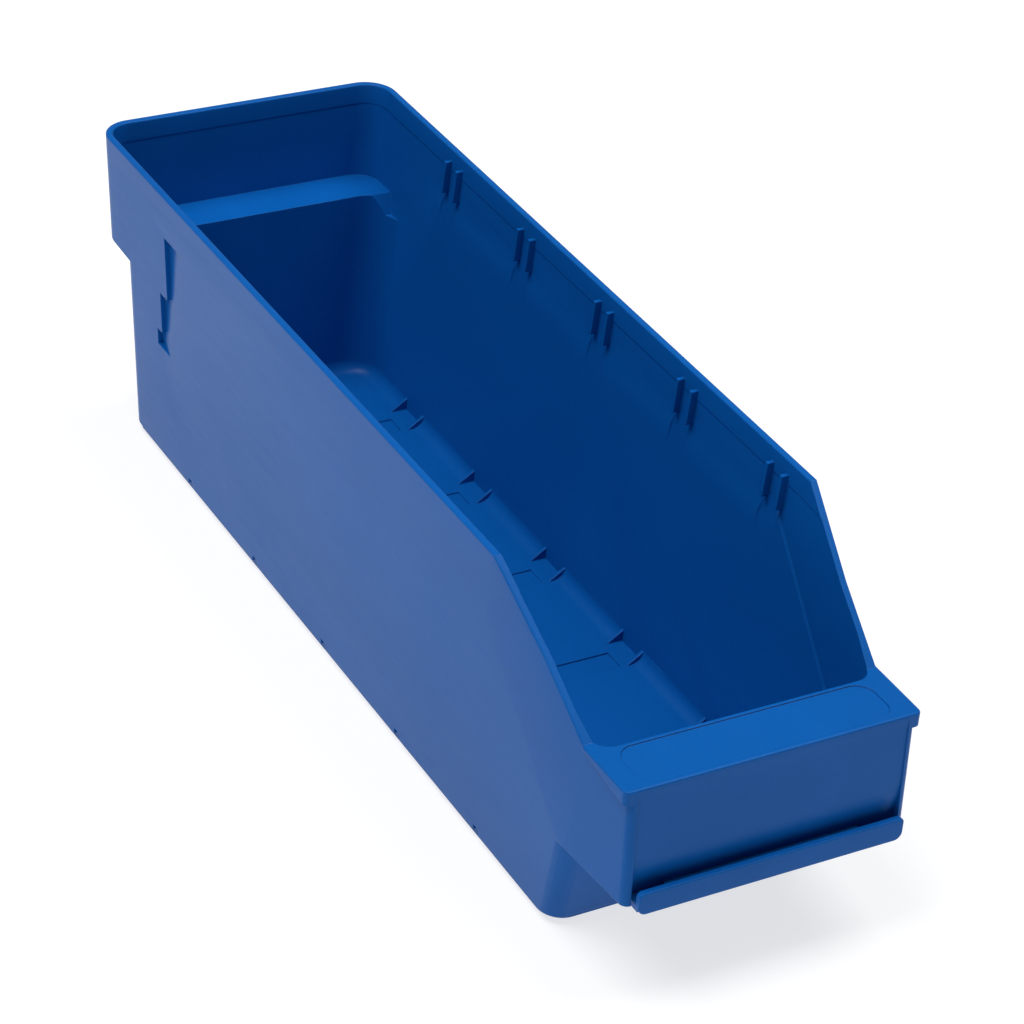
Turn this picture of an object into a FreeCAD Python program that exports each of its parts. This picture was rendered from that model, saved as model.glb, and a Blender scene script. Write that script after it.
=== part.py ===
import FreeCAD, Part
import os
import Sketcher

# Stackable shelf bin, one polypropylene moulding, 300 x 90 x 90 mm.
# Frame: +X right, +Y towards the rear wall, +Z up, origin at the middle of the footprint on the shelf.
# "depth" positions (name part d_) run forward from the rear face of the upper rear band: Y = len_half - d.

os.makedirs("parts", exist_ok=True)
doc = FreeCAD.newDocument("stackable_bin")
V = FreeCAD.Vector

# ---------------------------------------------------------------- sizes
SIZES = [
    ("len_half", 150.0, "half of the overall length, rear band to label rail"),
    ("rim_z", 90.0, "overall height, top of the rim"),
    ("hw_base", 39.25, "half width of the tub at the rear, at height 0"),
    ("hw_len", -0.0028, "change of half width per mm of depth"),
    ("hw_rise", 0.0639, "draft of the side walls, per mm of height"),
    ("nose_tap", 0.072, "inward taper of the side walls in front of the crease"),
    ("crease_d", 297.7, "crease line: depth at height 0"),
    ("crease_z", 0.879, "crease line: slope"),
    ("facet_tap", 0.0676, "inward taper of the small facet above the crease"),
    ("facet_k", 0.471, "slope of the facet line"),
    ("facet_d", 194.81, "facet line: depth at height 0"),
    ("t_low", 2.55, "thickness of the lower side wall"),
    ("t_mid", 1.9, "thickness of the upper side wall"),
    ("t_rim", 2.02, "thickness of the rim"),
    ("t_nose", 1.9, "thickness of the nose cheeks"),
    ("floor_z", 2.4, "top of the floor"),
    ("split_z", 3.3, "height at which the foot ring meets the walls"),
    ("foot_z", 2.5, "height of the stacking foot"),
    ("foot_in", 1.2, "inset of the stacking foot"),
    ("foot_hollow", 0.8, "hollow under the floor inside the foot"),
    ("d_low", 12.9, "depth of the lower rear wall outer face"),
    ("d_lowin", 15.3, "depth of the lower rear wall inner face"),
    ("d_bandin", 2.0, "inner face of the upper rear band"),
    ("d_split", 3.6, "depth at which the rear members meet the side members"),
    ("d_rimin", 2.12, "inner face of the rear rim"),
    ("step_z", 57.3, "underside of the rear step at its edge"),
    ("step_zin", 56.7, "underside of the rear step at the wall"),
    ("ledge_z", 61.0, "top of the rear ledge"),
    ("ledge_side", 58.6, "top of the sloping side ledge in the first bay"),
    ("d_bay", 43.0, "depth at which the side ledge in the first bay has run out"),
    ("bay_run", 8.0, "run-out length of that side ledge"),
    ("ledge_h", 3.2, "height of the sloping side ledges"),
    ("side_ledge", 76.0, "top of the sloping side ledge in the other bays"),
    ("thin_d", 302.5, "thin front part of the side walls: depth plus height along its edge"),
    ("thin_run", 8.0, "length over which the thin front part runs out before the front corner"),
    ("chan_z", 66.0, "lower end of the divider channels"),
    ("rimstep_z", 84.0, "lower edge of the rim band"),
    ("r_rear", 9.0, "outer radius of the rear vertical corners"),
    ("r_rearin", 7.2, "inner radius of the rear vertical corners"),
    ("r_rearlow", 9.6, "inner radius of the lower rear vertical corners"),
    ("r_front", 5.0, "outer radius of the tub's front vertical corners"),
    ("r_frontin", 4.6, "inner radius of the tub's front vertical corners"),
    ("r_cove", 4.0, "floor to wall cove radius"),
    ("d_rim", 237.2, "front end of the level rim"),
    ("d_lip", 276.3, "front end of the sloping rim"),
    ("lip_z", 61.3, "top of the nose"),
    ("d_foot", 266.5, "outer face of the front wall at height 0"),
    ("d_fw", 281.8, "outer face of the front wall at the nose top"),
    ("d_fwin", 279.4, "inner face of the front wall at the nose top"),
    ("d_fwlow", 264.0, "inner face of the front wall at the floor"),
    ("d_panel", 295.9, "front panel, top"),
    ("d_panlow", 297.5, "front panel, bottom"),
    ("nose_z", 29.3, "lower edge of the nose"),
    ("d_pocket", 293.7, "front inner face of the hollow nose"),
    ("plate_z", 59.3, "underside of the nose top plate"),
    ("plate_hw", 40.3, "half width of the nose top plate, rear"),
    ("plate_hwf", 39.9, "half width of the nose top plate, front"),
    ("brim_z", 60.3, "lower edge of the plate's brim, rear"),
    ("brim_zf", 57.4, "lower edge of the plate's brim, front"),
    ("rail_t", 1.6, "thickness of the label rail"),
    ("rail_z", 27.8, "lower edge of the label rail"),
    ("rail_top", 34.0, "upper edge of the label rail"),
    ("rail_hw", 36.2, "half length of the label rail"),
    ("rail_posx", 26.5, "half length of the raised middle of the label seat"),
    ("rail_seat2", 31.4, "height of the raised middle of the label seat"),
    ("rail_seat", 30.2, "height of the label seat behind the rail"),
    ("pitch", 43.1, "divider pitch"),
    ("d_rib1", 49.0, "first guide rib of the first pair"),
    ("d_rib2", 55.6, "second guide rib of the first pair"),
    ("rib_t", 1.2, "thickness of the guide ribs"),
    ("rib_proj", 2.0, "projection of the guide ribs from the upper wall"),
    ("rib_z", 77.0, "lower end of the guide ribs"),
    ("rib_top", 86.5, "upper end of the guide ribs"),
    ("d_gus1", 41.5, "first floor gusset of the first pair"),
    ("gus_gap", 11.9, "distance between the two gussets of a pair"),
    ("gus_t", 1.0, "thickness of the gussets"),
    ("gus_x", 31.9, "foot of the gussets on the floor"),
    ("gus_z", 6.0, "top of the gussets at the wall"),
    ("groove_w", 6.8, "width of the divider groove in the floor"),
    ("groove_d", 46.0, "rear edge of the first divider groove"),
    ("groove_z", 0.45, "depth of the divider groove"),
    ("notch_d", 57.6, "first drain notch in the lower edge"),
    ("notch_l", 3.0, "length of the drain notches"),
    ("notch_z", 4.1, "upper end of the drain notches"),
    ("notch_in", 1.1, "depth of the drain notches into the wall"),
    ("stop_deep", 1.5, "depth of the shelf stop recess"),
    ("stop_d1", 46.6, "rear edge of the upper stop step"),
    ("stop_d2", 41.7, "rear edge of the middle stop step"),
    ("stop_d3", 38.5, "rear edge of the lower stop step"),
    ("stop_flush", 58.7, "depth at which the recess has run out, at its top"),
    ("stop_k", 0.31, "slope of the run-out line, depth per mm of height"),
    ("stop_len", 8.0, "length over which the recess deepens"),
    ("stop_z1", 77.0, "top of the stop recess"),
    ("stop_z2", 57.2, "top of the middle step"),
    ("stop_z3", 44.2, "top of the lower step"),
    ("stop_z4", 39.2, "lower end of the stop recess"),
    ("label_hw", 34.3, "half length of the recess in the nose top"),
    ("label_d1", 280.3, "rear edge of the recess in the nose top"),
    ("label_d2", 294.5, "front edge of the recess in the nose top"),
    ("label_r", 5.0, "corner radius of the recess in the nose top"),
    ("label_z", 0.28, "depth of the recess in the nose top"),
    ("pan_in", 0.3, "depth of the label field in the front panel"),
    ("pan_hw", 36.4, "half width of the label field"),
    ("pan_z", 60.4, "top of the label field, where it starts flush"),
    ("pan_bend", 43.0, "height at which the label field turns inwards"),
    ("pan_back", 3.4, "how far the label field turns in at its lower edge"),
    ("edge_r", 0.45, "edge radius of the rim"),
]
sheet = doc.addObject("Spreadsheet::Sheet", "dims")
row = 1
NUM = {}
for alias, val, note in SIZES:
    sheet.set("A%d" % row, alias)
    sheet.set("B%d" % row, repr(val))
    sheet.setAlias("B%d" % row, alias)
    sheet.set("C%d" % row, note)
    NUM[alias] = val
    row += 1
doc.recompute()


class Q:
    """A size: its number now and the sheet expression that yields it."""
    def __init__(self, v, e):
        self.v = float(v)
        self.e = e

    def __add__(self, o):
        o = q(o)
        return Q(self.v + o.v, "(%s + %s)" % (self.e, o.e))

    def __sub__(self, o):
        o = q(o)
        return Q(self.v - o.v, "(%s - %s)" % (self.e, o.e))

    def __mul__(self, o):
        o = q(o)
        return Q(self.v * o.v, "(%s * %s)" % (self.e, o.e))

    def __truediv__(self, o):
        o = q(o)
        return Q(self.v / o.v, "(%s / %s)" % (self.e, o.e))

    def __neg__(self):
        return Q(-self.v, "(0 - %s)" % self.e)

    def __radd__(self, o):
        return q(o) + self

    def __rsub__(self, o):
        return q(o) - self

    def __rmul__(self, o):
        return q(o) * self


def q(o):
    return o if isinstance(o, Q) else Q(o, "%.8g" % o if o >= 0 else "(0 - %.8g)" % -o)


def D(alias):
    return Q(NUM[alias], "dims." + alias)


def Y(d):
    return D("len_half") - d


def mm(x):
    return x.e + " * 1 mm"


def plane_of(body, role):
    return [f for f in body.Origin.OriginFeatures if f.Role == role][0]


def sketch(body, name, role, pts, offset=None):
    """Closed polygon on an origin plane, every corner bound to the sheet."""
    s = body.newObject("Sketcher::SketchObject", name)
    s.AttachmentSupport = [(plane_of(body, role), "")]
    s.MapMode = "FlatFace"
    if offset is not None:
        s.AttachmentOffset = FreeCAD.Placement(V(0, 0, offset.v), FreeCAD.Rotation())
        s.setExpression("AttachmentOffset.Base.z", mm(offset))
    n = len(pts)
    P = [(q(a), q(b)) for a, b in pts]
    for i in range(n):
        a, b = P[i]
        c, d = P[(i + 1) % n]
        s.addGeometry(Part.LineSegment(V(a.v, b.v, 0), V(c.v, d.v, 0)))
    for i in range(n):
        s.addConstraint(Sketcher.Constraint("Coincident", i, 2, (i + 1) % n, 1))
    for i in range(n):
        for kind, val, axis in (("DistanceX", P[i][0], -2), ("DistanceY", P[i][1], -1)):
            if abs(val.v) < 1e-9:
                s.addConstraint(Sketcher.Constraint("PointOnObject", i, 1, axis))
            else:
                k = s.addConstraint(Sketcher.Constraint(kind, i, 1, val.v))
                s.setExpression("Constraints[%d]" % k, mm(val))
    return s


def prism(name, pts, x0=-60.0, x1=60.0):
    """Side-view polygon (Y, Z) extruded across the bin from x0 to x1."""
    b = doc.addObject("PartDesign::Body", name)
    x0, x1 = q(x0), q(x1)
    s = sketch(b, name + "_sk", "YZ_Plane", pts, x0)
    p = b.newObject("PartDesign::Pad", name + "_pad")
    p.Profile = s
    p.Length = (x1 - x0).v
    p.setExpression("Length", mm(x1 - x0))
    s.Visibility = False
    return b


def plan(name, pts, z0, z1):
    """Plan-view polygon (X, Y) extruded up from z0 to z1."""
    b = doc.addObject("PartDesign::Body", name)
    z0, z1 = q(z0), q(z1)
    s = sketch(b, name + "_sk", "XY_Plane", pts, z0)
    p = b.newObject("PartDesign::Pad", name + "_pad")
    p.Profile = s
    p.Length = (z1 - z0).v
    p.setExpression("Length", mm(z1 - z0))
    return b


def wedge(name, base, per_d, per_z, d0=-5.0, d1=310.0, z1=96.0):
    """Drafted envelope: half width = base + per_d * depth + per_z * height."""
    b = doc.addObject("PartDesign::Body", name)
    base, per_d, per_z = q(base), q(per_d), q(per_z)
    w0 = base + per_d * d0
    w1 = base + per_d * d1
    s = sketch(b, name + "_sk", "XY_Plane", [(-w0, Y(d0)), (w0, Y(d0)), (w1, Y(d1)), (-w1, Y(d1))])
    p = b.newObject("PartDesign::Pad", name + "_pad")
    p.Profile = s
    p.Length = z1
    doc.recompute()
    faces = []
    for i, f in enumerate(p.Shape.Faces):
        if abs(f.normalAt(0, 0).x) > 0.8:
            faces.append("Face%d" % (i + 1))
    dr = b.newObject("PartDesign::Draft", name + "_draft")
    dr.Base = (p, faces)
    dr.NeutralPlane = (plane_of(b, "XY_Plane"), [""])
    dr.setExpression("Angle", "atan(%s / sqrt(1 + (%s)^2))" % (per_z.e, per_d.e))
    for rev in (False, True):
        dr.Reversed = rev
        doc.recompute()
        want = (w0 + per_z * z1).v
        if abs(b.Shape.BoundBox.XMax - max(want, w0.v, (w1 + per_z * z1).v)) < 0.1:
            return b
    raise RuntimeError("draft failed: " + name)


def box(name, x0, x1, y0, y1, z0, z1):
    o = doc.addObject("Part::Box", name)
    lo = [q(x0), q(y0), q(z0)]
    hi = [q(x1), q(y1), q(z1)]
    for prop, a, c in zip(("Length", "Width", "Height"), lo, hi):
        setattr(o, prop, (c - a).v)
        o.setExpression(prop, mm(c - a))
    o.Placement = FreeCAD.Placement(V(lo[0].v, lo[1].v, lo[2].v), FreeCAD.Rotation())
    for ax, a in zip("xyz", lo):
        o.setExpression("Placement.Base." + ax, mm(a))
    return o


def common(name, a, b):
    o = doc.addObject("Part::Common", name)
    o.Base, o.Tool = a, b
    return o


def cut(name, a, b):
    o = doc.addObject("Part::Cut", name)
    o.Base, o.Tool = a, b
    return o


def fuse(name, *objs):
    o = doc.addObject("Part::MultiFuse", name)
    o.Shapes = list(objs)
    return o


def rounded(name, src, picks):
    """Fillet the edges of src chosen by (test, radius) pairs."""
    doc.recompute()
    es = []
    for i, e in enumerate(src.Shape.Edges):
        for test, r in picks:
            if test(e):
                es.append((i + 1, r.v, r.v))
                break
    if not es:
        raise RuntimeError("no edge picked for " + name)
    o = doc.addObject("Part::Fillet", name)
    o.Base = src
    o.Edges = es
    doc.recompute()
    if "Invalid" in o.State or o.Shape.isNull() or not o.Shape.isValid():
        doc.removeObject(o.Name)
        doc.recompute()
        raise RuntimeError("fillet failed: " + name)
    return o


def on_rim(e):
    """Edges of the level rim and of the sloping rim, both lying in its top face."""
    b = e.BoundBox
    if b.ZMin > NUM["rim_z"] - 0.02:
        return True
    k = (NUM["rim_z"] - NUM["lip_z"]) / (NUM["d_lip"] - NUM["d_rim"])
    for v in e.Vertexes:
        d = NUM["len_half"] - v.Point.y
        if d < NUM["d_rim"] - 0.1 or abs(NUM["rim_z"] - k * (d - NUM["d_rim"]) - v.Point.z) > 0.05:
            return False
    return b.YLength > 0.5


def mid(e):
    return e.valueAt((e.FirstParameter + e.LastParameter) / 2.0)


def span(e):
    b = e.BoundBox
    return b.XLength, b.YLength, b.ZLength


def upright(d, tol=0.6):
    """Edges that stand up, at a given depth at both ends."""
    def test(e):
        x, y, z = span(e)
        return z > 5 and y < 30 and x < 12 and abs(mid(e).x) > 5 and all(abs(v.Point.y - (NUM["len_half"] - d)) < tol for v in e.Vertexes)
    return test


# ---------------------------------------------------------------- outer shape
def shell_env(tag, t, facet=True):
    """Outer side planes of the bin, moved in by t (with the crease and the facet)."""
    t = q(t)
    a = wedge("env_a" + tag, D("hw_base") - t, D("hw_len"), D("hw_rise"))
    n = wedge("env_n" + tag, D("hw_base") - t + D("nose_tap") * D("crease_d"),
              D("hw_len") - D("nose_tap"), D("hw_rise") - D("nose_tap") * D("crease_z"))
    if not facet:
        return common("env" + tag, a, n)
    f = wedge("env_f" + tag, D("hw_base") - t + D("facet_tap") * D("facet_d"),
              D("hw_len") - D("facet_tap"), D("hw_rise") + D("facet_tap") * D("facet_k"))
    nf = fuse("env_nf" + tag, n, f)
    return common("env" + tag, a, nf)


lz = D("lip_z")
fw_k = (D("d_fw") - D("d_foot")) / lz           # lean of the front wall, outside
fwi_k = (D("d_fwin") - D("d_fwlow")) / (lz - D("floor_z"))


def fw_out(z):
    return D("d_foot") + fw_k * z


def fw_in(z):
    return D("d_fwlow") + fwi_k * (q(z) - D("floor_z"))


env0 = shell_env("0", 0.0)
tub_side = prism("tub_side", [
    (Y(D("d_low")), D("foot_z")), (Y(D("d_low")), D("step_zin")), (Y(0.0), D("step_z")),
    (Y(0.0), D("rim_z")), (Y(D("d_rim")), D("rim_z")), (Y(D("d_lip")), lz),
    (Y(D("d_fw")), lz), (Y(fw_out(D("foot_z"))), D("foot_z"))])
half_box = box("half_box", 0.0, 60.0, -160.0, 160.0, -5.0, 100.0)
tub_raw = common("tub_raw", common("tub_full", env0, tub_side), half_box)
doc.recompute()


def is_front_corner(e):
    x, y, z = span(e)
    return z > 15 and e.BoundBox.YMin < -110 and e.BoundBox.YMax < -116 and e.BoundBox.ZMin < 10 and abs(mid(e).x) > 30


tub = rounded("tub", tub_raw, [
    (upright(0.0), D("r_rear")), (upright(NUM["d_low"]), D("r_rear")), (is_front_corner, D("r_front"))])

tub = rounded("tub_rim", tub, [(lambda e: on_rim(e) and abs(mid(e).x) > 0.01 and not (e.BoundBox.XLength > 20 and mid(e).y < 0), D("edge_r"))])

nose_side = prism("nose_side", [
    (Y(fw_out(D("nose_z")) - 6.0), D("nose_z")), (Y(fw_out(lz) - 6.0), lz - 0.3),
    (Y(D("d_panel")), lz - 0.3), (Y(D("d_panlow")), D("nose_z"))])
nose_raw = common("nose_raw", env0, nose_side)


def is_nose_corner(e):
    x, y, z = span(e)
    return z > 20 and e.BoundBox.YMax < -145


nose_blk = rounded("nose_blk", nose_raw, [(is_nose_corner, q(2.2))])
plate_side = prism("plate_side", [
    (Y(D("d_lip")), D("brim_z")), (Y(D("d_lip")), lz), (Y(D("d_panel")), lz), (Y(D("d_panel")), D("brim_zf"))])
plate_plan = plan("plate_plan", [
    (-D("plate_hw"), Y(D("d_lip"))), (D("plate_hw"), Y(D("d_lip"))),
    (D("plate_hwf"), Y(310.0)), (-D("plate_hwf"), Y(310.0))], 50.0, 70.0)
plate_raw = common("plate_raw", plate_side, plate_plan)


def is_plate_corner(e):
    x, y, z = span(e)
    return z > 2 and x < 1 and y < 2 and mid(e).y < -144


plate = rounded("plate", plate_raw, [(is_plate_corner, q(1.6))])

def plate_edges(e):
    b = e.BoundBox
    if b.ZMin > NUM["lip_z"] - 0.01 and mid(e).y > -150 and not (b.XLength > 20 and mid(e).y > -130):
        return True
    return False


plate = rounded("plate_soft", plate, [(plate_edges, D("edge_r") + 0.1)])

# stacking foot: inset block under the tub
foot_env = wedge("foot_env", D("hw_base") - D("foot_in"), D("hw_len"), D("hw_rise"))
foot_side = prism("foot_side", [
    (Y(D("d_low") + D("foot_in")), 0.0), (Y(D("d_low") + D("foot_in")), D("foot_z") + 1.0),
    (Y(fw_out(3.5) - D("foot_in")), D("foot_z") + 1.0), (Y(D("d_foot") - D("foot_in")), 0.0)])
foot_raw = common("foot_raw", foot_env, foot_side)


def is_foot_corner(e):
    x, y, z = span(e)
    return 3.0 < z and x < 2 and y < 3


foot = rounded("foot", foot_raw, [(is_foot_corner, q(6.5))])
outer = fuse("outer", tub, nose_blk, plate, foot)

# ---------------------------------------------------------------- inner shape
env_low = shell_env("_low", D("t_low"), False)
env_mid = shell_env("_mid", D("t_mid"))
env_rim = shell_env("_rim", D("t_rim"))


def cav(name, env, z0, z1, d_rear, ext=0.0):
    p = prism(name + "_side", [
        (Y(d_rear), z0), (Y(d_rear), z1), (Y(fw_in(z1)), z1), (Y(fw_in(z0)), z0)])
    return common(name + "_raw", common(name + "_full", env, p), half_box)


def rear_in(d):
    return upright(d, 0.6)


def front_in(e):
    x, y, z = span(e)
    return z > 5 and mid(e).y < -112 and abs(mid(e).x) > 25 and x < 12


low_raw = cav("low", env_low, D("floor_z"), D("side_ledge"), D("d_lowin"))
doc.recompute()


def low_front_edges(e):
    x, y, z = span(e)
    return z > 8 and x < 12 and y > 0.5 and abs(mid(e).x) > 5 and e.BoundBox.ZMin < 20 and mid(e).y < -112 and e.BoundBox.YMax < -108


low_r = rounded("low_r", low_raw, [(rear_in(NUM["d_lowin"]), D("r_rearlow")), (low_front_edges, D("r_frontin"))])


def floor_loop(e):
    return e.BoundBox.ZMax < NUM["floor_z"] + 0.05 and abs(mid(e).x) > 0.01


low_c = rounded("low_c", low_r, [(floor_loop, D("r_cove"))])
mid_raw = cav("mid", env_mid, D("side_ledge"), D("rimstep_z"), D("d_bandin"))
mid_r = rounded("mid_r", mid_raw, [(rear_in(NUM["d_bandin"]), D("r_rearin"))])
rim_raw = cav("rim", env_rim, D("rimstep_z"), 94.0, D("d_rimin"))
rim_r = rounded("rim_r", rim_raw, [(rear_in(NUM["d_rimin"]), D("r_rearin") - 0.3)])
# the upper wall is thinner than the lower one; the step between them is a sloping ledge
step_t = D("t_low") - D("t_mid")


def fade_env(name, z0, z1):
    """Inner side planes that go from the lower wall at z0 to the upper wall at z1."""
    return wedge(name, D("hw_base") - D("t_low") - z0 * step_t / (z1 - z0), D("hw_len"), D("hw_rise") + step_t / (z1 - z0))


ledge_env = common("ledge_c", fade_env("ledge_env", D("side_ledge") - D("ledge_h"), D("side_ledge")), env_mid)
ledge_box = prism("ledge_box", [
    (Y(20.0), D("side_ledge") - D("ledge_h")), (Y(20.0), D("side_ledge") + 0.3),
    (Y(D("thin_d") - D("side_ledge")), D("side_ledge") + 0.3), (Y(D("thin_d") - D("side_ledge")), D("side_ledge") - D("ledge_h"))])
ledge = common("ledge", common("ledge_f", ledge_env, ledge_box), half_box)
# first bay: the upper wall starts lower, on the level of the rear ledge, and runs out towards the first channel
bay_side = prism("bay_side", [
    (Y(D("d_bandin")), D("ledge_z")), (Y(D("d_bandin")), D("side_ledge") + 0.2),
    (Y(D("d_bay")), D("side_ledge") + 0.2), (Y(D("d_bay")), D("ledge_side") - D("ledge_h")),
    (Y(D("d_lowin") + 4.0), D("ledge_side") - D("ledge_h")), (Y(D("d_lowin") + 1.0), D("ledge_z"))])
bay_fade = fade_env("bay_fade", D("ledge_side") - D("ledge_h"), D("ledge_side"))
bay_run = wedge("bay_run", D("hw_base") - D("t_low") + (step_t / D("bay_run")) * D("d_bay"),
                D("hw_len") - step_t / D("bay_run"), D("hw_rise"), 0.0, 100.0)
bay_env = common("bay_env", common("bay_env1", bay_fade, bay_run), env_mid)
bay_raw = common("bay_raw", common("bay_full", bay_env, bay_side), half_box)
bay_r = rounded("bay_r", bay_raw, [(rear_in(NUM["d_bandin"]), D("r_rearin"))])
# divider channels: the ledge is interrupted below each pair of guide ribs
chan_env = common("chan_c", fade_env("chan_env", D("chan_z"), D("side_ledge")), env_mid)
chans = []
for k in range(5):
    d0 = D("d_rib1") + D("pitch") * k - 2.5
    d1 = D("d_rib2") + D("pitch") * k + 0.6
    xa = D("hw_base") + D("hw_len") * d0 + D("hw_rise") * D("chan_z") - D("t_low") - 0.1
    xb = D("hw_base") + D("hw_len") * d0 + D("hw_rise") * D("side_ledge") - D("t_mid") + 0.1
    chans.append(plan("chan%d" % k, [
        (20.0, Y(d0)), (xa, Y(d0)), (xb, Y(d0 + 2.0)), (48.0, Y(d0 + 2.0)), (48.0, Y(d1 - 2.0)), (xb, Y(d1 - 2.0)), (xa, Y(d1)), (20.0, Y(d1))],
        D("chan_z") - 0.5, D("side_ledge") + 0.1))
chan = common("chan", chan_env, fuse("chan_box", *chans))
# thin front part of the side walls, in front of a line that falls from the last guide rib;
# it runs out again just before the rounded front corner
thin_box = prism("thin_box", [
    (Y(D("thin_d") - D("side_ledge")), D("side_ledge")), (Y(fw_in(D("side_ledge")) - 4.0), D("side_ledge")),
    (Y(fw_in(36.0) - 4.0), 36.0), (Y(D("thin_d") - 36.0), 36.0)])
thin_k = step_t / D("thin_run")
thin_out = wedge("thin_out", D("hw_base") - D("t_low") + D("nose_tap") * D("crease_d") + thin_k * (fw_in(0.0) - 4.6),
                 D("hw_len") - D("nose_tap") - thin_k, D("hw_rise") - D("nose_tap") * D("crease_z") + thin_k * fwi_k)
thin = common("thin", common("thin_f", common("thin_e", env_mid, thin_out), thin_box), half_box)
# sharp floor corners inside each divider channel
corner_boxes = []
for k in range(5):
    d0 = D("d_gus1") + D("pitch") * k
    corner_boxes.append(box("corner%d" % k, -50.0, 50.0, Y(d0 + D("gus_gap")), Y(d0), 2.0, 12.0))
corner = common("corner", low_r, fuse("corner_box", *corner_boxes))
# shallow floor grooves across the bin
groove_boxes = []
for k in range(5):
    d0 = D("groove_d") + D("pitch") * k
    groove_boxes.append(box("groove%d" % k, -30.0, 30.0, Y(d0 + D("groove_w")), Y(d0), D("floor_z") - D("groove_z"), D("floor_z") + 1.0))
grooves = fuse("grooves", *groove_boxes)
cavity = fuse("cavity_half", low_c, mid_r, rim_r, ledge, bay_r, chan, thin, corner, grooves)

cavity_m = doc.addObject("Part::Mirroring", "cavity_mirror")
cavity_m.Source = cavity
cavity_m.Normal = V(1, 0, 0)

# hollow nose, open below
env_nose = shell_env("_nose", D("t_nose"), False)
pocket_side = prism("pocket_side", [
    (Y(fw_out(28.0)), 28.0), (Y(fw_out(D("plate_z"))), D("plate_z")),
    (Y(D("d_pocket")), D("plate_z")), (Y(D("d_pocket") - 0.3), D("pan_bend")), (Y(D("d_pocket") - 2.4), 28.0)])
pocket = common("pocket", env_nose, pocket_side)
# hollow under the floor, inside the foot
under = box("under", -(D("hw_base") - 6.0), D("hw_base") - 6.0, Y(D("d_foot") - 5.5), Y(D("d_low") + 5.5), -1.0, D("foot_hollow"))
# recess in the nose top
lab_raw = box("lab_raw", -D("label_hw") - 0.3, D("label_hw") - 0.3, Y(D("label_d2")), Y(D("label_d1")), lz - D("label_z"), lz + 2.0)
lab = rounded("lab", lab_raw, [(lambda e: span(e)[2] > 1.5, D("label_r"))])
# label field in the front panel
pan_k = (D("d_panlow") - D("d_panel")) / (lz - D("nose_z"))


def pan_d(z):
    return D("d_panel") + pan_k * (lz - q(z))


field = prism("field", [
    (Y(303.0), D("pan_z")), (Y(pan_d(D("pan_z"))), D("pan_z")),
    (Y(pan_d(57.0) - D("pan_in")), 57.0), (Y(pan_d(D("pan_bend")) - D("pan_in")), D("pan_bend")),
    (Y(pan_d(38.5) - D("pan_in") - D("pan_back") * 0.12), 38.5),
    (Y(pan_d(34.0) - D("pan_in") - D("pan_back") * 0.43), 34.0),
    (Y(pan_d(28.0) - D("pan_in") - D("pan_back")), 28.0), (Y(303.0), 28.0)], -D("pan_hw"), D("pan_hw"))
# drain notches in the lower edge of both side walls
notch = []
for k in range(5):
    d0 = D("notch_d") + D("pitch") * k
    for sx, tag in ((-1, "l"), (1, "r")):
        a = D("hw_base") + D("hw_len") * d0 + D("hw_rise") * 3.0 - D("notch_in")
        if sx > 0:
            xa, xb = a, a + 5.0
        else:
            xa, xb = -a - 5.0, -a
        notch.append(box("notch%d%s" % (k, tag), xa, xb, Y(d0 + D("notch_l") * 0.5), Y(d0 - D("notch_l") * 0.5), 2.5, D("notch_z")))
notches = fuse("notches", *notch)


# shelf stop: three stepped recesses in both outer side walls, running out towards the front
run = D("stop_deep") / D("stop_len")
env_deep = wedge("env_deep", D("hw_base") - D("stop_deep"), D("hw_len"), D("hw_rise"))
# one slanting run-out face for all three steps: flush with the wall at stop_flush + stop_k * (height - stop_z1)
env_run = wedge("env_run", D("hw_base") - run * (D("stop_flush") - D("stop_k") * D("stop_z1")),
                D("hw_len") + run, D("hw_rise") - run * D("stop_k"), 0.0, 100.0)
stop_keep = fuse("stop_keep", env_deep, env_run)
slabs = []
for k, (d0, z_top, z_bot) in enumerate((
        (D("stop_d1"), D("stop_z1"), D("stop_z2")), (D("stop_d2"), D("stop_z2"), D("stop_z3")),
        (D("stop_d3"), D("stop_z3"), D("stop_z4")))):
    slabs.append(box("stop_slab%d" % k, -52.0, 52.0, Y(d0 + 16.0), Y(d0), z_bot, z_top))
stop_all = cut("stop_all", fuse("stop_slabs", *slabs), stop_keep)
# the walls are stepped back slightly below the band line in the first bay
tools = fuse("tools", cavity, pocket, under, notches, stop_all)
shell_raw = common("shell_raw", cut("shell_cut", outer, tools), half_box)
doc.recompute()
print("outer", round(outer.Shape.Volume), "shell", round(shell_raw.Shape.Volume), shell_raw.Shape.isValid(), len(shell_raw.Shape.Solids))


def inner_rim(lo, hi):
    """Inner edges of the rim between two heights."""
    def test(e):
        if not on_rim(e) or e.BoundBox.ZMin < lo or e.BoundBox.ZMax > hi:
            return False
        for v in e.Vertexes:
            d = NUM["len_half"] - v.Point.y
            hw = NUM["hw_base"] + NUM["hw_len"] * d + NUM["hw_rise"] * v.Point.z
            taper = NUM["nose_tap"] * max(0.0, d + NUM["crease_z"] * v.Point.z - NUM["crease_d"]) if v.Point.z < 76 else 0.0
            if d < 1.5 or hw - taper - abs(v.Point.x) < 1.4:
                return False
        return True
    return test


half = shell_raw
for n, (lo, hi) in enumerate(((89.9, 90.1), (74.9, 84.1), (61.0, 75.6), (83.0, 90.1))):
    try:
        half = rounded("shell_half%d" % n, half, [(inner_rim(lo, hi), D("edge_r"))])
    except RuntimeError as err:
        print("inner rim:", err)
mirror = doc.addObject("Part::Mirroring", "shell_mirror")
mirror.Source = half
mirror.Normal = V(1, 0, 0)
both = fuse("shell_both", half, mirror)
both.Refine = True
shell = cut("shell", both, fuse("fields", lab, field))
doc.recompute()
print("shell rounded", round(shell.Shape.Volume), len(shell.Shape.Faces))

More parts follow.
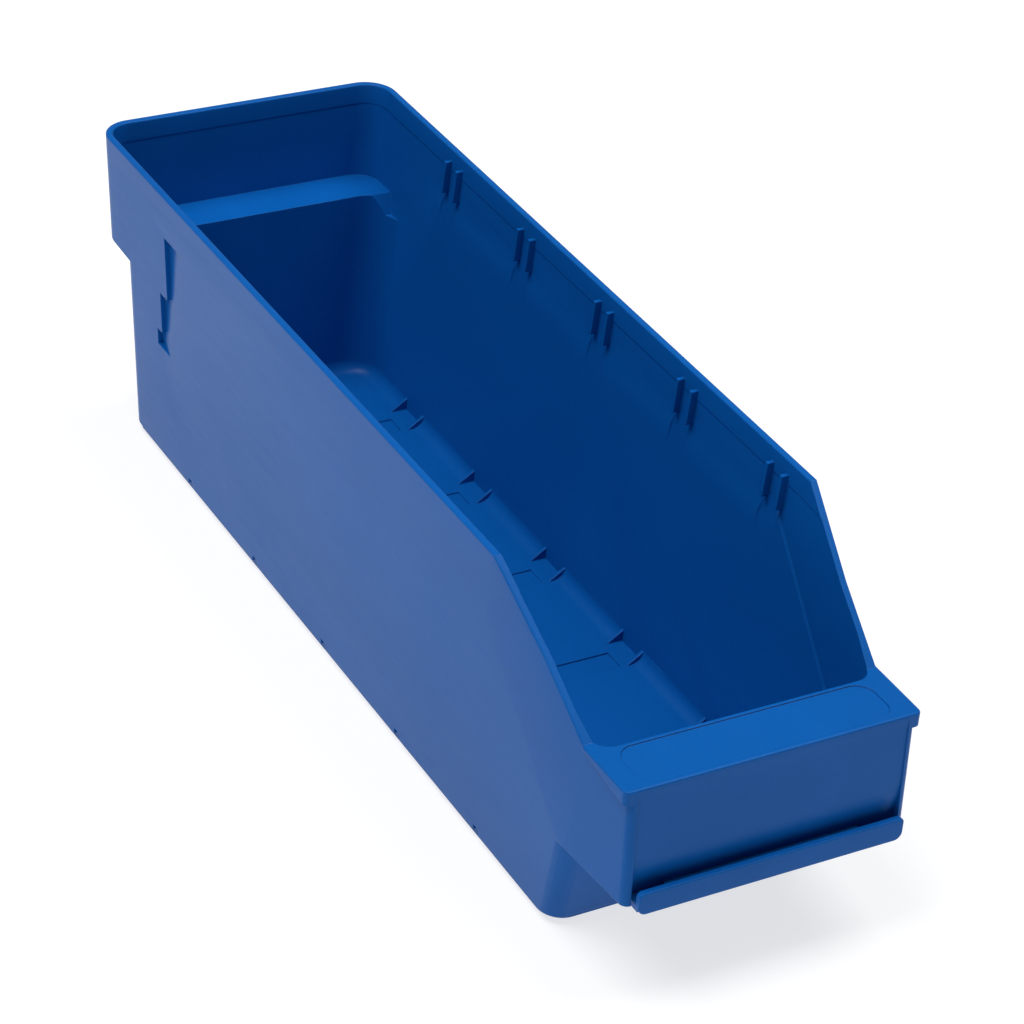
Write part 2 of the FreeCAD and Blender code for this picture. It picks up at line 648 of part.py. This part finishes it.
# ---------------------------------------------------------------- guide ribs, gussets, label rail
inner_rib = shell_env("_rib", D("t_mid") + D("rib_proj"))
rib_boxes = []
for k in range(5):
    for j, a in enumerate(("d_rib1", "d_rib2")):
        d0 = D(a) + D("pitch") * k
        rib_boxes.append(box("rib%d%d" % (k, j), -50.0, 50.0, Y(d0 + D("rib_t") * 0.5), Y(d0 - D("rib_t") * 0.5), D("rib_z"), D("rib_top")))
rib_slab = fuse("rib_slab", *rib_boxes)
rib_in = common("rib_in", rib_slab, fuse("cavity_both", cavity, cavity_m))
ribs = cut("ribs", rib_in, inner_rib)
gus_tri = []
for k in range(5):
    for j in range(2):
        d0 = D("d_gus1") + D("pitch") * k + D("gus_gap") * j
        da = d0 if j == 0 else d0 - D("gus_t")
        for sx, tag in ((-1, "l"), (1, "r")):
            b = doc.addObject("PartDesign::Body", "gus%d%d%s" % (k, j, tag))
            X = (lambda v: q(v)) if sx > 0 else (lambda v: -q(v))
            s = sketch(b, b.Name + "_sk", "XZ_Plane",
                       [(X(D("gus_x")), D("floor_z")), (X(45.0), D("floor_z")), (X(45.0), D("gus_z") + (45.0 - 37.2) * 0.68),
                        (X(D("gus_x")), D("floor_z") + 0.1)], da - D("len_half"))
            p = b.newObject("PartDesign::Pad", b.Name + "_pad")
            p.Profile = s
            p.Length = D("gus_t").v
            p.setExpression("Length", mm(D("gus_t")))
            gus_tri.append(b)
gus = common("gus", fuse("gus_raw", *gus_tri), fuse("cavity_all", cavity, cavity_m))

rail_raw = box("rail_raw", -D("rail_hw") + 0.4, D("rail_hw") + 0.4, Y(300.0), Y(300.0 - D("rail_t")), D("rail_z"), D("rail_top"))
rail_blk = rounded("rail_blk", rail_raw, [
    (lambda e: span(e)[1] > 1 and mid(e).z > 30, q(1.2)), (lambda e: span(e)[1] > 1 and mid(e).z < 30, q(2.2))])
rail_soft = rounded("rail_soft", rail_blk, [
    (lambda e: mid(e).y < -149.9 and abs(span(e)[1]) < 0.01, q(0.4))])
def field_d(z):
    """Depth of the lower, turned-in part of the label field."""
    da = pan_d(34.0) - D("pan_in") - D("pan_back") * 0.43
    db = pan_d(28.0) - D("pan_in") - D("pan_back")
    return db + (da - db) * (q(z) - 28.0) / 6.0


def seat(name, xa, xb, top):
    low = D("rail_z") + 0.6
    return prism(name, [(Y(299.0), low), (Y(field_d(low)), low), (Y(field_d(top)), top), (Y(299.0), top)], xa, xb)


rail = fuse("rail", rail_soft, seat("seat", -D("rail_hw") + 0.6, D("rail_hw") - 0.2, D("rail_seat")),
            seat("seat_mid", -D("rail_posx"), D("rail_posx"), D("rail_seat2")))

# ---------------------------------------------------------------- members of the moulding
BIGX = 60.0
low_z = box("z_low", -BIGX, BIGX, -160.0, 160.0, -1.0, D("split_z"))
core_low = box("z_core", -(D("hw_base") - 6.0), D("hw_base") - 6.0, Y(D("d_foot") - 5.5), Y(D("d_low") + 5.5), -1.0, D("split_z"))
ring_low = cut("z_ring", low_z, core_low)
zf = D("split_z")


def region(name, pts, side=0):
    if side == 0:
        return prism(name, pts)
    return prism(name, pts, 0.0, BIGX) if side > 0 else prism(name, pts, -BIGX, 0.0)


r_rear_wall = region("r_rear_wall", [(Y(-5.0), zf), (Y(-5.0), 55.5), (Y(D("d_lowin")), 55.5), (Y(D("d_lowin")), zf)])
r_step = region("r_step", [(Y(-5.0), 55.5), (Y(-5.0), D("ledge_z")), (Y(D("d_lowin")), D("ledge_z")), (Y(D("d_lowin")), 55.5)])
r_band = region("r_band", [(Y(-5.0), D("ledge_z")), (Y(-5.0), D("rimstep_z")), (Y(D("d_split")), D("rimstep_z")), (Y(D("d_split")), D("ledge_z"))])
r_rim_rear = region("r_rim_rear", [(Y(-5.0), D("rimstep_z")), (Y(-5.0), 95.0), (Y(D("d_split")), 95.0), (Y(D("d_split")), D("rimstep_z"))])
slope = (D("d_lip") - D("d_rim")) / (D("rim_z") - lz)      # depth per mm of height, sloping rim
off_d = D("d_rim") - 7.44                                  # the rim band follows the slope 6 mm below it


def band_d(z):
    return off_d + slope * (D("rim_z") - q(z))


SIDES = (("left", -1), ("right", 1))
REG = [
    ("floor_panel", core_low), ("stacking_foot", ring_low),
    ("rear_wall", r_rear_wall), ("rear_step", r_step), ("rear_band", r_band), ("rim_rear", r_rim_rear)]
for tag, sx in SIDES:
    REG.append(("rear_corner_" + tag, region("r_corner_" + tag, [
        (Y(D("d_split")), D("ledge_z")), (Y(D("d_split")), D("rimstep_z")), (Y(D("d_lowin")), D("rimstep_z")), (Y(D("d_lowin")), D("ledge_z"))], sx)))
    REG.append(("side_wall_" + tag, region("r_wall_" + tag, [
        (Y(D("d_lowin")), zf), (Y(D("d_lowin")), D("rimstep_z")), (Y(band_d(D("rimstep_z"))), D("rimstep_z")),
        (Y(band_d(lz)), lz), (Y(fw_in(lz)), lz), (Y(fw_in(zf)), zf)], sx)))
    REG.append(("rim_" + tag, region("r_rim_" + tag, [
        (Y(D("d_split")), D("rimstep_z")), (Y(D("d_split")), 95.0), (Y(band_d(95.0)), 95.0), (Y(band_d(D("rimstep_z"))), D("rimstep_z"))], sx)))
    REG.append(("rim_slope_" + tag, region("r_slope_" + tag, [
        (Y(band_d(lz)), lz), (Y(band_d(95.0)), 95.0), (Y(300.0), 95.0), (Y(300.0), lz)], sx)))
    REG.append(("nose_cheek_" + tag, region("r_cheek_" + tag, [
        (Y(fw_out(zf)), zf), (Y(fw_out(D("plate_z"))), D("plate_z")), (Y(D("d_pocket")), D("plate_z")), (Y(D("d_pocket") - 0.3), D("pan_bend")), (Y(D("d_pocket") - 2.4), 28.0), (Y(D("d_pocket") - 3.4), zf)], sx)))
REG.append(("front_wall", region("r_front", [
    (Y(fw_in(zf)), zf), (Y(fw_in(D("plate_z"))), D("plate_z")), (Y(fw_out(D("plate_z"))), D("plate_z")), (Y(fw_out(zf)), zf)])))
REG.append(("nose_top_plate", region("r_top", [
    (Y(fw_in(D("plate_z"))), D("plate_z")), (Y(fw_in(lz)), lz), (Y(300.0), lz), (Y(300.0), D("plate_z"))])))
REG.append(("nose_front_panel", region("r_panel", [
    (Y(D("d_pocket") - 3.4), zf), (Y(D("d_pocket") - 2.4), 28.0), (Y(D("d_pocket") - 0.3), D("pan_bend")), (Y(D("d_pocket")), D("plate_z")),
    (Y(300.0), D("plate_z")), (Y(300.0), zf)])))

# coves between floor and walls: everything of the moulding inside the sharp-cornered cavity
low_m = doc.addObject("Part::Mirroring", "low_mirror")
low_m.Source = low_r
low_m.Normal = V(1, 0, 0)
low_both = fuse("low_both", low_r, low_m)
coves = common("coves", shell, low_both)
walls = cut("walls", shell, low_both)
COVE = [
    ("cove_rear", box("r_cove_rear", -BIGX, BIGX, Y(27.0), Y(10.0), 2.0, 12.0)),
    ("cove_front", box("r_cove_front", -BIGX, BIGX, Y(280.0), Y(259.0), 2.0, 12.0)),
    ("cove_left", box("r_cove_left", -BIGX, 0.0, Y(259.0), Y(27.0), 2.0, 12.0)),
    ("cove_right", box("r_cove_right", 0.0, BIGX, Y(259.0), Y(27.0), 2.0, 12.0))]

doc.recompute()
out = []
for name, reg in REG + COVE:
    o = common("m_" + name, coves if (name, reg) in COVE else walls, reg)
    o.Label = name
    out.append(o)
xneg = box("half_left", -BIGX, 0.0, -160.0, 160.0, -5.0, 100.0)
xpos = box("half_right", 0.0, BIGX, -160.0, 160.0, -5.0, 100.0)
for tag, hb in (("left", xneg), ("right", xpos)):
    o = common("m_ribs_" + tag, ribs, hb)
    o.Label = "divider_ribs_" + tag
    out.append(o)
    o = common("m_gus_" + tag, gus, hb)
    o.Label = "floor_gussets_" + tag
    out.append(o)
rail.Label = "label_rail"
out.append(rail)
doc.recompute()

bad = [o.Name for o in doc.Objects if "Invalid" in o.State or "Error" in o.State]
if bad:
    raise RuntimeError("not computed: " + ", ".join(bad))
total = 0.0
for o in out:
    sh = o.Shape
    if sh.isNull() or not sh.isValid() or not sh.Solids:
        raise RuntimeError("no valid shape: " + o.Label)
    total += sh.Volume
    b = sh.BoundBox
    if len(sh.Solids) > 1 and "rib" not in o.Label and "gus" not in o.Label and "cove" not in o.Label:
        for c in sh.Solids:
            k = c.BoundBox
            print("   part", round(c.Volume, 2), [round(t, 1) for t in (k.XMin, k.XMax, k.YMin, k.YMax, k.ZMin, k.ZMax)])
    print("%-22s solids %2d vol %9.1f  x %.1f %.1f y %.1f %.1f z %.1f %.1f" % (
        o.Label, len(sh.Solids), sh.Volume, b.XMin, b.XMax, b.YMin, b.YMax, b.ZMin, b.ZMax))
    sh.exportStep(os.path.join("parts", o.Label + ".step"))
print("total", round(total), "shell", round(shell.Shape.Volume), "mass g", round(total * 0.905e-3))
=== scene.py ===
import bpy
import bmesh
import math
from mathutils import Matrix, Vector


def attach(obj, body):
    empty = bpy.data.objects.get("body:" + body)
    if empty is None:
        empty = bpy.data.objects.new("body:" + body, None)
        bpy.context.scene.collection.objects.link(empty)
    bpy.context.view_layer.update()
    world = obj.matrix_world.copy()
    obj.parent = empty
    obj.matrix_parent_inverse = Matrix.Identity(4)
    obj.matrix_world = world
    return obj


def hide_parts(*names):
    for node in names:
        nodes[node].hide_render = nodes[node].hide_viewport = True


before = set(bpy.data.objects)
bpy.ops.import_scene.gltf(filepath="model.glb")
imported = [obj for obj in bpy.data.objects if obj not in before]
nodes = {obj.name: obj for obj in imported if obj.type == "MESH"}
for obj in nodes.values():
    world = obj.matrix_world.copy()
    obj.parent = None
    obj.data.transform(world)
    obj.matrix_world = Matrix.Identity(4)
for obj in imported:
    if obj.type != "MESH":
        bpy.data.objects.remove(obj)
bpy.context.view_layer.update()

scene = bpy.context.scene

# ------------------------------------------------------------------ camera
cam_data = bpy.data.cameras.new("camera")
cam_data.sensor_width = 36.0
cam_data.lens = 117.52
cam_data.clip_start, cam_data.clip_end = 0.05, 60.0
camera = bpy.data.objects.new("camera", cam_data)
scene.collection.objects.link(camera)
camera.matrix_world = Matrix((
    (0.877960, 0.202943, -0.433590, -0.37178),
    (-0.473457, 0.502190, -0.723633, -0.64011),
    (0.070889, 0.840607, 0.536987, 0.51133),
    (0.0, 0.0, 0.0, 1.0)))
scene.camera = camera


# ------------------------------------------------------------------ materials
def new_material(name):
    m = bpy.data.materials.new(name)
    m.use_nodes = True
    nt = m.node_tree
    for n in list(nt.nodes):
        nt.nodes.remove(n)
    out = nt.nodes.new("ShaderNodeOutputMaterial")
    bsdf = nt.nodes.new("ShaderNodeBsdfPrincipled")
    nt.links.new(bsdf.outputs["BSDF"], out.inputs["Surface"])
    return m, nt, bsdf


def pp_material():
    """Smooth, semi-gloss moulded polypropylene: faint flow mottling, micro orange-peel, fine handling scuffs, rounded arrises."""
    m, nt, bsdf = new_material("pp_blue")
    N, L = nt.nodes, nt.links
    tc = N.new("ShaderNodeTexCoord")

    def noise(scale, detail, rough, vec=None, distortion=0.0):
        n = N.new("ShaderNodeTexNoise")
        n.inputs["Scale"].default_value = scale
        n.inputs["Detail"].default_value = detail
        n.inputs["Roughness"].default_value = rough
        n.inputs["Distortion"].default_value = distortion
        L.new(vec or tc.outputs["Object"], n.inputs["Vector"])
        return n.outputs["Fac"]

    def ramp(fac, stops):
        r = N.new("ShaderNodeValToRGB")
        cr = r.color_ramp
        while len(cr.elements) < len(stops):
            cr.elements.new(0.5)
        for e, (p, c) in zip(cr.elements, stops):
            e.position = p
            e.color = c if len(c) == 4 else (*c, 1.0)
        L.new(fac, r.inputs["Fac"])
        return r.outputs["Color"]

    # colour: slow mottling of the pigment along the flow, and a trace of fine speckle
    mp = N.new("ShaderNodeMapping")
    mp.inputs["Scale"].default_value = (1.0, 0.35, 1.0)
    L.new(tc.outputs["Object"], mp.inputs["Vector"])
    flow = noise(26.0, 3.0, 0.5, mp.outputs["Vector"], 0.6)
    fine = noise(900.0, 2.0, 0.6)
    base = ramp(flow, [(0.30, (0.0016, 0.086, 0.340)), (0.70, (0.0024, 0.096, 0.375))])
    speck = ramp(fine, [(0.35, (0.955, 0.955, 0.955)), (0.65, (1.0, 1.0, 1.0))])
    mul = N.new("ShaderNodeMix")
    mul.data_type = "RGBA"
    mul.blend_type = "MULTIPLY"
    mul.inputs["Factor"].default_value = 1.0
    L.new(base, mul.inputs["A"])
    L.new(speck, mul.inputs["B"])
    L.new(mul.outputs["Result"], bsdf.inputs["Base Color"])

    # gloss: satin with slow variation and faint rubbed streaks
    mr = N.new("ShaderNodeMapping")
    mr.inputs["Scale"].default_value = (1.0, 0.12, 1.0)
    mr.inputs["Rotation"].default_value = (0.15, 0.1, 0.2)
    L.new(tc.outputs["Object"], mr.inputs["Vector"])
    streak = noise(420.0, 4.0, 0.65, mr.outputs["Vector"])
    slow = noise(14.0, 2.0, 0.5)
    add = N.new("ShaderNodeMath")
    add.operation = "ADD"
    L.new(streak, add.inputs[0])
    L.new(slow, add.inputs[1])
    rng = N.new("ShaderNodeMapRange")
    rng.inputs["From Min"].default_value = 0.6
    rng.inputs["From Max"].default_value = 1.4
    rng.inputs["To Min"].default_value = 0.30
    rng.inputs["To Max"].default_value = 0.40
    L.new(add.outputs[0], rng.inputs["Value"])
    L.new(rng.outputs["Result"], bsdf.inputs["Roughness"])
    bsdf.inputs["IOR"].default_value = 1.49
    bsdf.inputs["Specular IOR Level"].default_value = 0.11

    # relief: orange peel of the mould skin, soft sink waviness, and arrises of about a third of a millimetre
    peel = noise(1500.0, 2.0, 0.5)
    wave = noise(38.0, 1.0, 0.4)
    bev = N.new("ShaderNodeBevel")
    bev.samples = 8
    bev.inputs["Radius"].default_value = 0.00035
    b1 = N.new("ShaderNodeBump")
    b1.inputs["Strength"].default_value = 0.18
    b1.inputs["Distance"].default_value = 0.00002
    L.new(peel, b1.inputs["Height"])
    L.new(bev.outputs["Normal"], b1.inputs["Normal"])
    b2 = N.new("ShaderNodeBump")
    b2.inputs["Strength"].default_value = 0.35
    b2.inputs["Distance"].default_value = 0.00025
    L.new(wave, b2.inputs["Height"])
    L.new(b1.outputs["Normal"], b2.inputs["Normal"])
    L.new(b2.outputs["Normal"], bsdf.inputs["Normal"])
    return m


pp = pp_material()


# ------------------------------------------------------------------ the moulding, one continuous skin
def one_skin(names, name):
    """Union of the moulding's members: their shared faces go, their outer faces stay where they are."""
    coll = bpy.data.collections.new("members")
    scene.collection.children.link(coll)
    tmp = []
    for n in names:
        me = nodes[n].data.copy()
        bm = bmesh.new()
        bm.from_mesh(me)
        bmesh.ops.remove_doubles(bm, verts=bm.verts, dist=1e-7)
        bm.to_mesh(me)
        bm.free()
        ob = bpy.data.objects.new("m_" + n, me)
        tmp.append(ob)
    base = tmp[0]
    scene.collection.objects.link(base)
    for ob in tmp[1:]:
        coll.objects.link(ob)
    mod = base.modifiers.new("union", "BOOLEAN")
    mod.operation = "UNION"
    mod.operand_type = "COLLECTION"
    mod.collection = coll
    mod.solver = "EXACT"
    mod.use_self = True
    bpy.context.view_layer.update()
    dg = bpy.context.evaluated_depsgraph_get()
    me = bpy.data.meshes.new_from_object(base.evaluated_get(dg))
    for ob in tmp:
        old = ob.data
        bpy.data.objects.remove(ob)
        bpy.data.meshes.remove(old)
    bpy.data.collections.remove(coll)
    bm = bmesh.new()
    bm.from_mesh(me)
    bmesh.ops.remove_doubles(bm, verts=bm.verts, dist=2e-6)
    bmesh.ops.dissolve_degenerate(bm, edges=bm.edges, dist=1e-6)
    for f in bm.faces:
        f.smooth = True
        f.material_index = 0
    bm.normal_update()
    sharp = math.radians(28)
    for e in bm.edges:
        e.smooth = not (len(e.link_faces) != 2 or e.calc_face_angle(0.0) > sharp)
    open_edges = sum(1 for e in bm.edges if len(e.link_faces) != 2)
    vol = bm.calc_volume()
    bm.to_mesh(me)
    bm.free()
    me.materials.clear()
    me.materials.append(pp)
    obj = bpy.data.objects.new(name, me)
    scene.collection.objects.link(obj)
    print("skin", name, "faces", len(me.polygons), "open edges", open_edges, "volume cm3", round(vol * 1e6, 2))
    return obj


body_nodes = sorted(nodes)
skin = one_skin(body_nodes, "bin_moulding")
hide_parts(*body_nodes)
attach(skin, "root")

# ------------------------------------------------------------------ floor
floor_mat, nt, fb = new_material("studio_floor")
fb.inputs["Base Color"].default_value = (0.34, 0.34, 0.34, 1.0)
fb.inputs["Emission Color"].default_value = (1.0, 1.0, 1.0, 1.0)
fb.inputs["Emission Strength"].default_value = 0.72
fb.inputs["Roughness"].default_value = 0.9
fb.inputs["Specular IOR Level"].default_value = 0.1
me = bpy.data.meshes.new("floor")
bm = bmesh.new()
bmesh.ops.create_grid(bm, x_segments=8, y_segments=8, size=6.0)
bm.to_mesh(me)
bm.free()
me.materials.append(floor_mat)
floor = bpy.data.objects.new("floor", me)
floor.location.z = -0.0001
scene.collection.objects.link(floor)

# ------------------------------------------------------------------ light
world = bpy.data.worlds.new("world")
world.use_nodes = True
wn, wl = world.node_tree.nodes, world.node_tree.links
bg = wn["Background"]
wt = wn.new("ShaderNodeTexCoord")
sep = wn.new("ShaderNodeSeparateXYZ")
wl.new(wt.outputs["Generated"], sep.inputs["Vector"])
sky = wn.new("ShaderNodeValToRGB")
sky.color_ramp.elements[0].position = 0.10
sky.color_ramp.elements[0].color = (0.62, 0.62, 0.62, 1.0)
sky.color_ramp.elements[1].position = 0.24
sky.color_ramp.elements[1].color = (0.10, 0.10, 0.10, 1.0)
wl.new(sep.outputs["Z"], sky.inputs["Fac"])
wl.new(sky.outputs["Color"], bg.inputs["Color"])
bg.inputs["Strength"].default_value = 1.0
scene.world = world


def area(name, loc, target, size, power, size_y=None):
    ld = bpy.data.lights.new(name, "AREA")
    ld.energy = power
    ld.size = size
    if size_y:
        ld.shape = "RECTANGLE"
        ld.size_y = size_y
    ob = bpy.data.objects.new(name, ld)
    ob.location = loc
    ob.rotation_mode = "QUATERNION"
    ob.rotation_quaternion = (Vector(target) - Vector(loc)).to_track_quat("-Z", "Y")
    scene.collection.objects.link(ob)
    return ob


area("key_soft", (-0.50, 0.05, 1.25), (0.0, 0.0, 0.03), 0.8, 14.0)
area("top_soft", (0.50, -0.10, 1.40), (0.0, 0.0, 0.03), 0.8, 12.0)

# ------------------------------------------------------------------ close
scene.view_settings.view_transform = "Standard"
